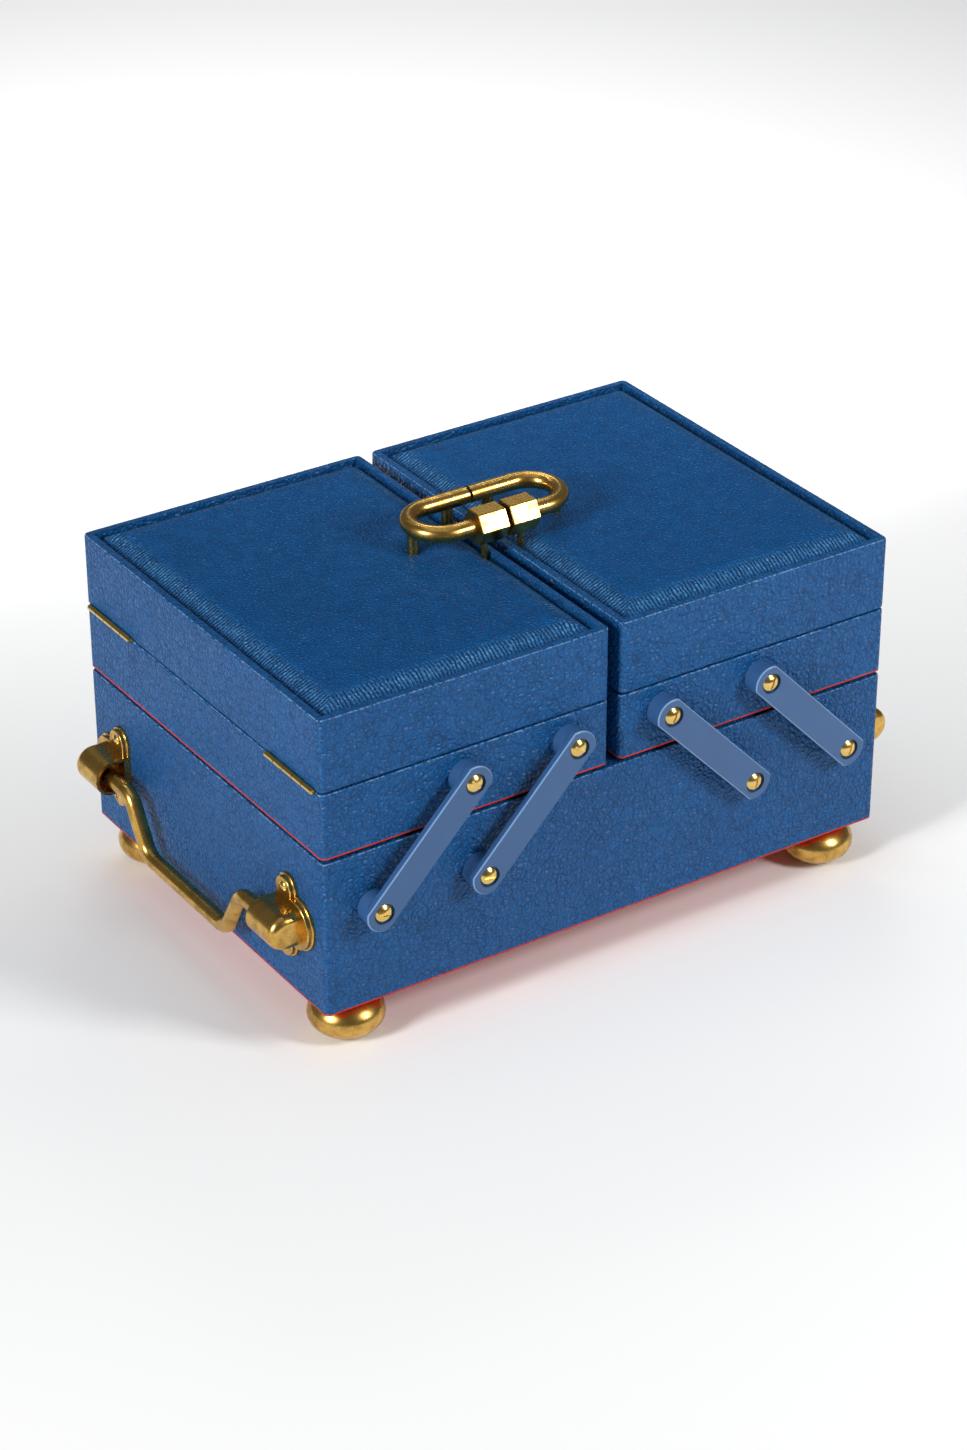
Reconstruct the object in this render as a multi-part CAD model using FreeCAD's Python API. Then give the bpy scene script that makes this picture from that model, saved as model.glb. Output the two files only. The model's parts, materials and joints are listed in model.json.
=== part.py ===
import FreeCAD, Part
import math
import os

# A cantilever sewing box. A deep base on ball feet carries two shallow lidded trays, side by side.
# Each tray stands on four parallel arms and swings outwards over its own side of the base.
# Millimetres. +Z is up, +X is the box's right, -Y is its front.
# The origin is on the floor under the middle of the box.

# ---- outside of the box ----
box_width = 300.0
box_depth = 206.0
foot_height = 23.0
base_height = 77.0
tray_gap = 2.2            # air between the base's rim and a tray's underside
tray_height = 31.8
lid_gap = 0.8             # air between a tray's rim and its lid
lid_height = 35.2
centre_gap = 6.0          # air between the two trays, and between the two lids
corner_radius = 3.0       # upright corners
rim_round = 1.1           # edge of the leather along every rim

# ---- boards, leather and lining ----
leather = 1.2
underside_leather = 0.7    # the red skin under the base and under each tray
lining = 1.0
turn_in = 10.0            # how far the outer leather turns down inside a rim
base_board = 8.0
base_bottom = 6.0
tray_board = 6.0
tray_bottom = 4.0
lid_board = 6.0
lid_rim_board = 1.6       # the thin upstand that frames a lid's pad
lid_recess = 8.0          # depth of the recess that takes the panel and the pad
lid_panel = 3.0
pad_rise = 2.6            # height of the pad above the lid's rim
pad_groove = 0.7          # open groove all round the pad
pad_corner = 5.0
pad_round = 5.0           # roll of the pad's upper edge

# ---- arms and their pivots ----
arm_angle = 46.4          # slope of an arm at rest, from level
arm_width = 15.0
arm_thickness = 3.0
arm_end_radius = 8.6      # the arc that ends an arm, centred on its pivot
arm_chamfer = 0.5
base_pivot_drop = 27.6    # from the base's rim down to the lower pivots
base_pivot_inset = 24.5   # from the side of the box in to the outer lower pivot
tray_pivot_height = 19.2  # from a tray's underside up to its pivots
arm_spacing = 53.7        # from an outer pivot to the inner one
spacer_thickness = 6.6    # the round bosses that hold the arms off the box
spacer_radius = 7.8
screw_radius = 2.0
screw_bite = 4.5          # thread in the board
head_radius = 4.3
head_edge = 0.6           # straight part of the head below its dome
head_dome = 1.9
head_sink = 1.4           # depth of the counterbore in the arm
head_play = 0.7           # air round the head in its counterbore
slot_width = 1.0
slot_depth = 0.9
running_clearance = 0.06  # radial, and endways, in every joint that turns
screw_clearance = 0.05    # radial, round a screw or stud that doesn't turn

# ---- lid hinges ----
hinge_length = 38.0
hinge_end_inset = 5.0     # from the tray's front or back face to the hinge
hinge_knuckles = 5
knuckle_gap = 0.4
barrel_radius = 1.5
barrel_offset = 0.7       # from the tray's side face out to the pin's axis
barrel_play = 0.2         # air between the barrel and the leather
hinge_pin_radius = 0.7
hinge_pin_head = 1.1
hinge_pin_head_length = 0.4
leaf_thickness = 0.8
leaf_width = 6.5
leaf_half_gap = 0.15      # from the pin's level to each leaf

# ---- side handles ----
bail_radius = 3.8
bail_out = 9.8            # from the side of the box to the bail's axis
bail_height = 38.4        # from the base's underside to the bail's axis
bail_drop = 25.2          # from the axis to the grip, hanging
bail_grip_half = 35.5     # half the length of the grip, to the corner of its bend
bail_shoulder_half = 50.3 # from the middle to the corner of the upper bend
bail_shoulder_bend = 8.5
bail_grip_bend = 10.5
bail_end_play = 1.0       # from a bail's end to the bottom of its bore
socket_mouth = 67.7       # from the middle of the box to the open end of a socket
socket_length = 21.8
socket_half_height = 8.5
socket_wall = 1.5
socket_cavity = 11.0
socket_bearing = 7.0      # depth of the bore that the bail's end turns in
socket_end_round = 4.2
plate_flange = 1.7        # thickness of the plate's wide lower layer
plate_thickness = 3.6     # both layers
plate_step = 0.9          # how far the upper layer stands in from the lower one
plate_edge_round = 0.6
plate_lobe_radius = 12.6
plate_lobe_inset = 15.8   # from the socket's mouth to the middle of the round lobe
ear_width = 14.2
ear_reach = 13.6          # from the socket's axis to the middle of an ear's round end
ear_screw_reach = 15.0
ear_screw_radius = 1.5
ear_screw_head = 2.7
ear_screw_head_height = 1.2
ear_screw_bite = 5.0
ear_screw_end_play = 0.2  # from a screw's point to the bottom of its hole
cross_width = 0.7
cross_length = 3.2
cross_depth = 0.7

# ---- clasp: an oval link in two halves, one on each lid ----
link_tube_radius = 4.0
link_half_length = 38.2   # middle of the tube, along X
link_half_width = 14.3    # middle of the tube, along Y
link_rise = 14.5          # from the lid's rim to the middle of the tube
link_gap = 1.6            # between the two halves
nut_flats = 15.0
nut_length = 14.4
nut_chamfer = 0.4         # along every outer edge
nut_gap = 2.2
link_end_inset = 0.6      # the link's end stops this far inside its nut
post_radius = 2.7
nut_post_radius = 1.5
back_post_x = 10.9
nut_post_x = 9.7
post_play = 0.3

# ---- feet ----
foot_radius = 17.5
foot_half_height = 11.0
foot_centre = 10.5        # height of the ball's widest place
foot_neck_radius = 8.0
foot_inset_x = 20.0       # from the box's side to the middle of a foot
foot_inset_y = 17.0
stud_radius = 2.5
stud_end_in_foot = 9.0
stud_end_in_board = 1.0   # wood left above the stud

past = 1.0                # how far a cutting solid runs beyond what it cuts

# Worked out from the sizes above.
half_width = box_width / 2
half_depth = box_depth / 2
base_z = foot_height
base_top = base_z + base_height
tray_z = base_top + tray_gap
tray_top = tray_z + tray_height
lid_z = tray_top + lid_gap
lid_top = lid_z + lid_height
lid_ledge = lid_top - lid_recess
hinge_x = -(half_width + barrel_offset)
hinge_z = tray_top + lid_gap / 2
base_pivot_z = base_top - base_pivot_drop
tray_pivot_z = tray_z + tray_pivot_height
arm_rise = tray_pivot_z - base_pivot_z
arm_length = arm_rise / math.sin(math.radians(arm_angle))
arm_run = arm_length * math.cos(math.radians(arm_angle))
outer_pivot_x = -(half_width - base_pivot_inset)
pivot_x = {"outer": outer_pivot_x, "inner": outer_pivot_x + arm_spacing}
arm_face = half_depth + spacer_thickness + running_clearance
head_seat = arm_face + arm_thickness - head_sink + running_clearance
link_z = lid_top + link_rise

# Angle of each screw's slot, from level. No two screws stop at the same turn.
slot_angles = {
    ("left", "outer", "base"): -15.0,
    ("left", "inner", "base"): -8.0,
    ("left", "outer", "tray"): -49.0,
    ("left", "inner", "tray"): -35.0,
    ("right", "outer", "base"): 75.0,
    ("right", "inner", "base"): 78.0,
    ("right", "outer", "tray"): 70.0,
    ("right", "inner", "tray"): 69.0,
}

vec = FreeCAD.Vector
origin = vec(0, 0, 0)


# ---- shared helpers ----

def block(x0, x1, y0, y1, z0, z1):
    return Part.makeBox(x1 - x0, y1 - y0, z1 - z0, vec(x0, y0, z0))


def cylinder(radius, start, direction, length):
    return Part.makeCylinder(radius, length, start, direction)


def edges_at(shape, axis, value):
    """The edges that lie in one plane, such as z = value."""
    found = []
    for edge in shape.Edges:
        box = edge.BoundBox
        low, high = {"x": (box.XMin, box.XMax), "y": (box.YMin, box.YMax), "z": (box.ZMin, box.ZMax)}[axis]
        if abs(low - value) < 1e-4 and abs(high - value) < 1e-4:
            found.append(edge)
    return found


def upright_edges(shape):
    found = []
    for edge in shape.Edges:
        box = edge.BoundBox
        if box.XLength < 1e-4 and box.YLength < 1e-4:
            found.append(edge)
    return found


def rounded_block(x0, x1, y0, y1, z0, z1, corner, top=0.0, bottom=0.0):
    """A block with round upright corners, and rounded top and bottom edges where asked."""
    solid = block(x0, x1, y0, y1, z0, z1)
    solid = solid.makeFillet(corner, upright_edges(solid))
    if top > 0:
        solid = solid.makeFillet(top, edges_at(solid, "z", z1))
    if bottom > 0:
        solid = solid.makeFillet(bottom, edges_at(solid, "z", z0))
    return solid


def front_to_back(shape):
    return shape.mirror(origin, vec(0, 1, 0))


def left_to_right(shape):
    return shape.mirror(origin, vec(1, 0, 0))


def joined(shapes):
    return shapes[0].fuse(shapes[1:]).removeSplitter()


def cut_all(shape, tools):
    for tool in tools:
        shape = shape.cut(tool)
    return shape


def save(name, solids):
    """Writes one node. A list of separate solids is written as one group."""
    if not isinstance(solids, list):
        solids = [solids]
    found = []
    for item in solids:
        found.extend(item.Solids)
    shape = found[0] if len(found) == 1 else Part.makeCompound(found)
    if not shape.isValid():
        raise ValueError(name + " is not a valid solid")
    shape.exportStep("parts/" + name + ".step")


# ---- boxes: boards, leather and lining ----

class Hollow:
    """The plan of one leather-covered box, from its outside x range and its board."""

    def __init__(self, x0, x1, board):
        self.x0 = x0
        self.x1 = x1
        self.board = board

    def inset(self, depth, z0, z1):
        return block(self.x0 + depth, self.x1 - depth, -half_depth + depth, half_depth - depth, z0, z1)

    def boards(self, z0, z1):
        """Four boards: front and back run the whole width, and the sides stand between them."""
        inner = leather + self.board
        left_x = self.x0 + leather
        right_x = self.x1 - leather
        front_y = -half_depth + leather
        front = block(left_x, right_x, front_y, front_y + self.board, z0, z1)
        left = block(left_x, left_x + self.board, -half_depth + inner, half_depth - inner, z0, z1)
        right = block(right_x - self.board, right_x, -half_depth + inner, half_depth - inner, z0, z1)
        return [front, front_to_back(front), left, right]

    def outside(self, z0, z1, top=0.0, bottom=0.0):
        return rounded_block(self.x0, self.x1, -half_depth, half_depth, z0, z1, corner_radius, top, bottom)


base_plan = Hollow(-half_width, half_width, base_board)
tray_plan = Hollow(-half_width, -centre_gap / 2, tray_board)
lid_plan = Hollow(-half_width, -centre_gap / 2, lid_board)


def open_box_wrap(plan, z0, z1):
    """Leather on the four sides, over the rim and down inside it."""
    skin = plan.outside(z0, z1, top=rim_round)
    inner = leather + plan.board
    ring = plan.inset(leather, z0, z1 - leather)
    mouth = plan.inset(inner + lining, z0, z1 + past)
    lower = plan.inset(inner, z0, z1 - turn_in)
    return cut_all(skin, [ring.cut(plan.inset(inner, z0, z1)), mouth, lower])


def open_box_lining(plan, floor, z1):
    inner = leather + plan.board
    outside = plan.inset(inner, floor, z1 - turn_in)
    return outside.cut(plan.inset(inner + lining, floor + lining, z1))


def underside(plan, z0):
    return plan.outside(z0, z0 + underside_leather)


def bottom_board(plan, z0, thickness):
    return plan.inset(leather + plan.board, z0, z0 + thickness)


def lid_wrap():
    """Leather on the lid's sides, over its top rim to the recess, and under and up inside its lower edge."""
    skin = lid_plan.outside(lid_z, lid_top, top=rim_round, bottom=rim_round)
    inner = leather + lid_board
    rim_inner = leather + lid_rim_board
    frame = lid_plan.inset(leather, lid_z + leather, lid_ledge).cut(lid_plan.inset(inner, lid_z, lid_top))
    upstand = lid_plan.inset(leather, lid_ledge, lid_top - leather)
    upstand = upstand.cut(lid_plan.inset(rim_inner, lid_z, lid_top))
    recess = lid_plan.inset(rim_inner + lining, lid_ledge, lid_top + past)
    hollow = lid_plan.inset(inner, lid_z + turn_in, lid_ledge)
    mouth = lid_plan.inset(inner + lining, lid_z - past, lid_ledge)
    return cut_all(skin, [frame, upstand, recess, hollow, mouth])


def lid_boards():
    """The lid's four boards, each with a rebate along its upper inner edge for the panel."""
    rebate = lid_plan.inset(leather + lid_rim_board, lid_ledge, lid_top)
    return [board.cut(rebate) for board in lid_plan.boards(lid_z + leather, lid_top - leather)]


def lid_panel_board():
    return lid_plan.inset(leather + lid_rim_board + lining, lid_ledge, lid_ledge + lid_panel)


def lid_lining():
    inner = leather + lid_board
    outside = lid_plan.inset(inner, lid_z + turn_in, lid_ledge)
    return outside.cut(lid_plan.inset(inner + lining, lid_z, lid_ledge - lining))


def lid_pad():
    """The padded leather panel that fills the lid's recess, with holes for the clasp's posts."""
    edge = leather + lid_rim_board + lining + pad_groove
    x0 = lid_plan.x0 + edge
    x1 = lid_plan.x1 - edge
    y1 = half_depth - edge
    pad = rounded_block(x0, x1, -y1, y1, lid_ledge + lid_panel, lid_top + pad_rise, pad_corner)
    pad = pad.makeFillet(pad_round, edges_at(pad, "z", lid_top + pad_rise))
    return cut_all(pad, [post(x, y, radius + post_play) for x, y, radius in post_places()])


# ---- arms, screws and spacers, all made at the front ----

def pivot_place(arm, level):
    """X and Z of a left pivot: an arm is outer or inner, a level is base or tray."""
    if level == "base":
        return pivot_x[arm], base_pivot_z
    return pivot_x[arm] + arm_run, tray_pivot_z


def pivot_hole(arm, level, radius):
    x, z = pivot_place(arm, level)
    return cylinder(radius, vec(x, 0, z), vec(0, -1, 0), head_seat)


def arm(which):
    """A flat bar with arc ends, bored and counterbored for a screw at each end."""
    x, z = pivot_place(which, "base")
    half = arm_width / 2
    bar = block(-arm_end_radius, arm_length + arm_end_radius, -arm_thickness, 0, -half, half)
    lower_end = cylinder(arm_end_radius, vec(0, 0, 0), vec(0, -1, 0), arm_thickness)
    upper_end = cylinder(arm_end_radius, vec(arm_length, 0, 0), vec(0, -1, 0), arm_thickness)
    middle = block(0, arm_length, -arm_thickness, 0, -half, half)
    solid = bar.common(joined([middle, lower_end, upper_end]))
    solid = solid.makeChamfer(arm_chamfer, edges_at(solid, "y", -arm_thickness))
    for centre in (0, arm_length):
        bore_start = vec(centre, past, 0)
        bore = cylinder(screw_radius + running_clearance, bore_start, vec(0, -1, 0), arm_thickness + 2 * past)
        sink_start = vec(centre, head_sink - arm_thickness, 0)
        sink = cylinder(head_radius + head_play, sink_start, vec(0, -1, 0), head_sink + past)
        solid = solid.cut(bore).cut(sink)
    solid.rotate(origin, vec(0, -1, 0), arm_angle)
    solid.translate(vec(x, -arm_face, z))
    return solid


def pivot_screw(which, level, slot_angle):
    """A slotted screw with a domed head. Its shank runs through arm, spacer and leather into the board."""
    x, z = pivot_place(which, level)
    shank_end = half_depth - leather - screw_bite
    shank = cylinder(screw_radius, vec(x, -shank_end, z), vec(0, -1, 0), head_seat - shank_end)
    edge = cylinder(head_radius, vec(x, -head_seat, z), vec(0, -1, 0), head_edge)
    ball_radius = (head_radius ** 2 + head_dome ** 2) / (2 * head_dome)
    dome_base = head_seat + head_edge
    ball = Part.makeSphere(ball_radius, vec(x, -(dome_base + head_dome - ball_radius), z))
    dome = ball.common(cylinder(head_radius, vec(x, -dome_base, z), vec(0, -1, 0), head_dome))
    screw = joined([shank, edge, dome])
    top = dome_base + head_dome
    slot = block(-head_radius - past, head_radius + past, -past, slot_depth, -slot_width / 2, slot_width / 2)
    slot.rotate(origin, vec(0, -1, 0), slot_angle)
    slot.translate(vec(x, -top, z))
    return screw.cut(slot)


def pivot_spacer(which, level):
    x, z = pivot_place(which, level)
    disc = cylinder(spacer_radius, vec(x, -half_depth, z), vec(0, -1, 0), spacer_thickness)
    return disc.cut(pivot_hole(which, level, screw_radius + screw_clearance))


def pivot_holes(level):
    """Screw holes through the leather and boards of one side, front and back."""
    holes = []
    for which in pivot_x:
        hole = pivot_hole(which, level, screw_radius + screw_clearance)
        holes.extend([hole, front_to_back(hole)])
    return holes


# ---- lid hinges, on the left side ----

def hinge_spans():
    """Start and end along Y of the front hinge and of the back one."""
    outer = half_depth - hinge_end_inset
    return [(-outer, -outer + hinge_length), (outer - hinge_length, outer)]


def knuckle_spans(y0):
    length = (hinge_length - knuckle_gap * (hinge_knuckles - 1)) / hinge_knuckles
    starts = [y0 + i * (length + knuckle_gap) for i in range(hinge_knuckles)]
    return [(start, start + length) for start in starts]


def hinge_leaf(y0, own, z0):
    """One leaf with its own knuckles: own is 0 for first, third and fifth, and 1 for the rest."""
    leaf = block(hinge_x, -half_width + leaf_width, y0, y0 + hinge_length, z0, z0 + leaf_thickness)
    barrels = []
    for i, (start, end) in enumerate(knuckle_spans(y0)):
        centre = vec(hinge_x, start, hinge_z)
        if i % 2 == own:
            barrels.append(cylinder(barrel_radius, centre, vec(0, 1, 0), end - start))
        else:
            room = vec(hinge_x, start - knuckle_gap, hinge_z)
            width = end - start + 2 * knuckle_gap
            leaf = leaf.cut(cylinder(barrel_radius + knuckle_gap, room, vec(0, 1, 0), width))
    solid = joined([leaf] + barrels)
    bore_start = vec(hinge_x, y0 - past, hinge_z)
    bore = cylinder(hinge_pin_radius + running_clearance, bore_start, vec(0, 1, 0), hinge_length + 2 * past)
    return solid.cut(bore)


def hinge_pin(y0):
    clearance = running_clearance
    pin = cylinder(hinge_pin_radius, vec(hinge_x, y0 - clearance, hinge_z), vec(0, 1, 0), hinge_length + 2 * clearance)
    first = vec(hinge_x, y0 - clearance - hinge_pin_head_length, hinge_z)
    last = vec(hinge_x, y0 + hinge_length + clearance, hinge_z)
    heads = [cylinder(hinge_pin_head, place, vec(0, 1, 0), hinge_pin_head_length) for place in (first, last)]
    return joined([pin] + heads)


def hinge_rooms(z0, z1):
    """Mortises for the leaves between two levels, and room for the barrels, cut from a tray or a lid."""
    rooms = []
    for start, end in hinge_spans():
        y0 = start - barrel_play - hinge_pin_head_length - running_clearance
        y1 = end + barrel_play + hinge_pin_head_length + running_clearance
        rooms.append(block(hinge_x, -half_width + leaf_width, start, end, z0, z1))
        rooms.append(cylinder(barrel_radius + barrel_play, vec(hinge_x, y0, hinge_z), vec(0, 1, 0), y1 - y0))
    return rooms


# ---- side handles, made at the left front ----

def bail_x():
    return -(half_width + bail_out)


def bail_z():
    return base_z + bail_height


def socket_profile(shrink, x_wall, y):
    """A closed D: straight sides from the wall, and a half round outside, all moved in by shrink."""
    x = bail_x()
    z = bail_z()
    reach = socket_half_height - shrink
    lower = vec(x_wall, y, z - reach)
    upper = vec(x_wall, y, z + reach)
    round_low = vec(x, y, z - reach)
    round_high = vec(x, y, z + reach)
    edges = [
        Part.makeLine(lower, round_low),
        Part.Arc(round_low, vec(x - reach, y, z), round_high).toShape(),
        Part.makeLine(round_high, upper),
        Part.makeLine(upper, lower),
    ]
    return Part.Face(Part.Wire(edges))


def plate_layer(shrink, x_outer):
    """One layer of a socket's plate, from the wall out to x_outer, with its outline moved in by shrink."""
    z = bail_z()
    thickness = -half_width - x_outer
    outwards = vec(-1, 0, 0)
    lobe_centre = vec(-half_width, -(socket_mouth + plate_lobe_inset), z)
    pieces = [cylinder(plate_lobe_radius - shrink, lobe_centre, outwards, thickness)]
    ear_y = -(socket_mouth + ear_width / 2)
    half = ear_width / 2 - shrink
    pieces.append(block(x_outer, -half_width, ear_y - half, ear_y + half, z - ear_reach, z + ear_reach))
    for side in (-1, 1):
        centre = vec(-half_width, ear_y, z + side * ear_reach)
        pieces.append(cylinder(half, centre, outwards, thickness))
    return joined(pieces)


def socket_plate():
    """The stepped plate under a socket: a round lobe at its closed end, and an ear above and below its mouth."""
    upper_face = -half_width - plate_thickness
    upper = plate_layer(plate_step, upper_face)
    upper = upper.makeFillet(plate_edge_round, edges_at(upper, "x", upper_face))
    lower_face = -half_width - plate_flange
    lower = plate_layer(0.0, lower_face)
    lower = lower.makeFillet(plate_edge_round, edges_at(lower, "x", lower_face))
    return joined([lower, upper])


def handle_socket():
    """A D-shaped housing on a plate. The bail's end goes in at the mouth and turns in a blind bore."""
    mouth = -socket_mouth
    housing = socket_profile(0.0, -half_width, mouth).extrude(vec(0, -socket_length, 0))
    end_edges = []
    for edge in edges_at(housing, "y", mouth - socket_length):
        if edge.BoundBox.XLength > 1e-4:
            end_edges.append(edge)
    housing = housing.makeFillet(socket_end_round, end_edges)
    solid = joined([socket_plate(), housing])
    cavity = socket_profile(socket_wall, -half_width - plate_thickness, mouth + past)
    cavity = cavity.extrude(vec(0, -(socket_cavity + past), 0))
    bearing_start = vec(bail_x(), mouth - socket_cavity + past, bail_z())
    bearing = cylinder(bail_radius + running_clearance, bearing_start, vec(0, -1, 0), socket_bearing + past)
    return cut_all(solid, [cavity, bearing] + ear_screw_holes())


def ear_screw_places():
    y = -(socket_mouth + ear_width / 2)
    return [(y, bail_z() - ear_screw_reach), (y, bail_z() + ear_screw_reach)]


def ear_screw_holes():
    """Holes through the plate, the leather and into the board, for the left front socket's screws."""
    holes = []
    length = plate_thickness + leather + ear_screw_bite
    for y, z in ear_screw_places():
        start = vec(-half_width - plate_thickness - past, y, z)
        holes.append(cylinder(ear_screw_radius + screw_clearance, start, vec(1, 0, 0), length + past))
    return holes


def ear_screw(y, z, turn):
    """A pan-head screw with a cross recess."""
    face = -half_width - plate_thickness
    shank_length = plate_thickness + leather + ear_screw_bite - ear_screw_end_play
    shank = cylinder(ear_screw_radius, vec(face, y, z), vec(1, 0, 0), shank_length)
    ball_radius = (ear_screw_head ** 2 + ear_screw_head_height ** 2) / (2 * ear_screw_head_height)
    ball = Part.makeSphere(ball_radius, vec(face - ear_screw_head_height + ball_radius, y, z))
    head = ball.common(cylinder(ear_screw_head, vec(face, y, z), vec(-1, 0, 0), ear_screw_head_height))
    screw = joined([shank, head])
    for angle in (turn, turn + 90):
        bar = block(-past, cross_depth, -cross_length / 2, cross_length / 2, -cross_width / 2, cross_width / 2)
        bar.rotate(origin, vec(1, 0, 0), angle)
        bar.translate(vec(face - ear_screw_head_height, y, z))
        screw = screw.cut(bar)
    return screw


def rounded_path(points, radii):
    """A wire through points, with each inner corner replaced by a tangent arc."""
    edges = []
    start = points[0]
    for i in range(1, len(points) - 1):
        corner = points[i]
        back = (points[i - 1] - corner).normalize()
        ahead = (points[i + 1] - corner).normalize()
        half_angle = back.getAngle(ahead) / 2
        trim = radii[i - 1] / math.tan(half_angle)
        arc_start = corner + back * trim
        arc_end = corner + ahead * trim
        middle = (back + ahead).normalize()
        centre = corner + middle * (radii[i - 1] / math.sin(half_angle))
        arc_middle = centre - middle * radii[i - 1]
        edges.append(Part.makeLine(start, arc_start))
        edges.append(Part.Arc(arc_start, arc_middle, arc_end).toShape())
        start = arc_end
    edges.append(Part.makeLine(start, points[-1]))
    return Part.Wire(edges)


def rod(path, start, direction, radius):
    """A round bar that follows a smooth path."""
    circle = Part.Wire(Part.makeCircle(radius, start, direction))
    return path.makePipeShell([circle], True, True)


def bail():
    """The hanging handle: a bent rod with both ends turned into the sockets."""
    x = bail_x()
    z = bail_z()
    end = socket_mouth + socket_cavity + socket_bearing - bail_end_play
    grip_z = z - bail_drop
    points = [
        vec(x, -end, z),
        vec(x, -bail_shoulder_half, z),
        vec(x, -bail_grip_half, grip_z),
        vec(x, bail_grip_half, grip_z),
        vec(x, bail_shoulder_half, z),
        vec(x, end, z),
    ]
    bends = [bail_shoulder_bend, bail_grip_bend, bail_grip_bend, bail_shoulder_bend]
    return rod(rounded_path(points, bends), points[0], vec(0, 1, 0), bail_radius)


# ---- clasp, on the left lid ----

def link_half():
    """Half of the oval link: a back bar, a round end, and a front bar that ends inside the nut."""
    straight = link_half_length - link_half_width
    back_start = vec(-link_gap / 2, link_half_width, link_z)
    back_end = vec(-straight, link_half_width, link_z)
    far = vec(-link_half_length, 0, link_z)
    front_start = vec(-straight, -link_half_width, link_z)
    front_end = vec(-nut_gap / 2 - link_end_inset, -link_half_width, link_z)
    path = Part.Wire([
        Part.makeLine(back_start, back_end),
        Part.Arc(back_end, far, front_start).toShape(),
        Part.makeLine(front_start, front_end),
    ])
    return rod(path, back_start, vec(-1, 0, 0), link_tube_radius)


def hex_nut():
    """A hexagonal nut with a flat on top and a small chamfer on every outer edge, bored to fit the link."""
    x1 = -nut_gap / 2
    x0 = x1 - nut_length
    corner = nut_flats / math.sqrt(3)
    points = []
    for i in range(7):
        angle = math.radians(60 * i)
        y = -link_half_width + corner * math.cos(angle)
        points.append(vec(x0, y, link_z + corner * math.sin(angle)))
    prism = Part.Face(Part.makePolygon(points)).extrude(vec(nut_length, 0, 0))
    prism = prism.makeChamfer(nut_chamfer, prism.Edges)
    bore_start = vec(x0 - past, -link_half_width, link_z)
    bore = cylinder(link_tube_radius + screw_clearance, bore_start, vec(1, 0, 0), nut_length + 2 * past)
    return prism.cut(bore)


def post_places():
    """X, Y and radius of each post: round end, back bar, nut."""
    return [
        (-link_half_length, 0.0, post_radius),
        (-back_post_x, link_half_width, post_radius),
        (-nut_post_x, -link_half_width, nut_post_radius),
    ]


def post(x, y, radius):
    foot = lid_ledge + lid_panel
    return cylinder(radius, vec(x, y, foot), vec(0, 0, 1), link_z - foot)


def clasp_posts():
    """Each post stands on the lid's panel, and its top is shaped to what it carries."""
    above_nut_flat = block(-half_width, 0, -half_depth, 0, link_z - nut_flats / 2, link_z + past)
    carried = [link_half(), link_half(), above_nut_flat]
    return [post(*place).cut(solid) for place, solid in zip(post_places(), carried)]


# ---- feet ----

def foot_places():
    x = half_width - foot_inset_x
    y = half_depth - foot_inset_y
    return [(-x, -y), (x, -y), (-x, y), (x, y)]


def ball_foot(x, y):
    """A flattened ball with a flat to stand on, and a short neck under the base."""
    ball = Part.makeSphere(1.0)
    stretch = FreeCAD.Matrix()
    stretch.scale(foot_radius, foot_radius, foot_half_height)
    ball = ball.transformGeometry(stretch)
    ball.translate(vec(0, 0, foot_centre))
    reach = foot_radius + past
    ball = ball.common(block(-reach, reach, -reach, reach, 0, foot_height))
    neck = cylinder(foot_neck_radius, vec(0, 0, foot_centre), vec(0, 0, 1), foot_height - foot_centre)
    foot = joined([ball, neck])
    bore = cylinder(stud_radius + screw_clearance, vec(0, 0, stud_end_in_foot), vec(0, 0, 1), foot_height)
    foot = foot.cut(bore)
    foot.translate(vec(x, y, 0))
    return foot


def foot_stud(x, y):
    top = base_z + underside_leather + base_bottom - stud_end_in_board
    return cylinder(stud_radius, vec(x, y, stud_end_in_foot), vec(0, 0, 1), top - stud_end_in_foot)


def stud_holes():
    top = base_z + underside_leather + base_bottom - stud_end_in_board
    return [cylinder(stud_radius + screw_clearance, vec(x, y, 0), vec(0, 0, 1), top) for x, y in foot_places()]


# ---- the whole box ----

def with_right(shapes):
    """Left pieces and their right twins."""
    return shapes + [left_to_right(shape) for shape in shapes]


def with_back(shapes):
    """Front pieces and their back twins."""
    return shapes + [front_to_back(shape) for shape in shapes]


def save_base():
    screws = with_right(pivot_holes("base"))
    handles = with_right(with_back(ear_screw_holes()))
    boards = base_plan.boards(base_z + underside_leather, base_top - leather)
    save("base_walls", [cut_all(board, screws + handles) for board in boards])
    bottom = bottom_board(base_plan, base_z + underside_leather, base_bottom)
    save("base_bottom_board", cut_all(bottom, stud_holes()))
    wrap = open_box_wrap(base_plan, base_z + underside_leather, base_top)
    save("base_leather_wrap", cut_all(wrap, screws + handles))
    save("base_underside_leather", cut_all(underside(base_plan, base_z), stud_holes()))
    save("base_lining", open_box_lining(base_plan, base_z + underside_leather + base_bottom, base_top))
    save("ball_feet", [ball_foot(x, y) for x, y in foot_places()])
    save("foot_studs", [foot_stud(x, y) for x, y in foot_places()])


def save_handles():
    socket = handle_socket()
    save("left_front_handle_socket", socket)
    save("left_back_handle_socket", front_to_back(socket))
    save("right_front_handle_socket", left_to_right(socket))
    save("right_back_handle_socket", left_to_right(front_to_back(socket)))
    turns = [20.0, 65.0]
    screws = [ear_screw(y, z, turn) for (y, z), turn in zip(ear_screw_places(), turns)]
    save("handle_screws", with_right(with_back(screws)))
    save("left_bail", bail())
    save("right_bail", left_to_right(bail()))


def side_screws(side, level):
    """The four pivot screws of one side and level, front and back."""
    screws = []
    for which in pivot_x:
        angle = slot_angles[(side, which, level)]
        if side == "left":
            screws.append(pivot_screw(which, level, angle))
        else:
            screws.append(left_to_right(pivot_screw(which, level, -angle)))
    return with_back(screws)


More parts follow.
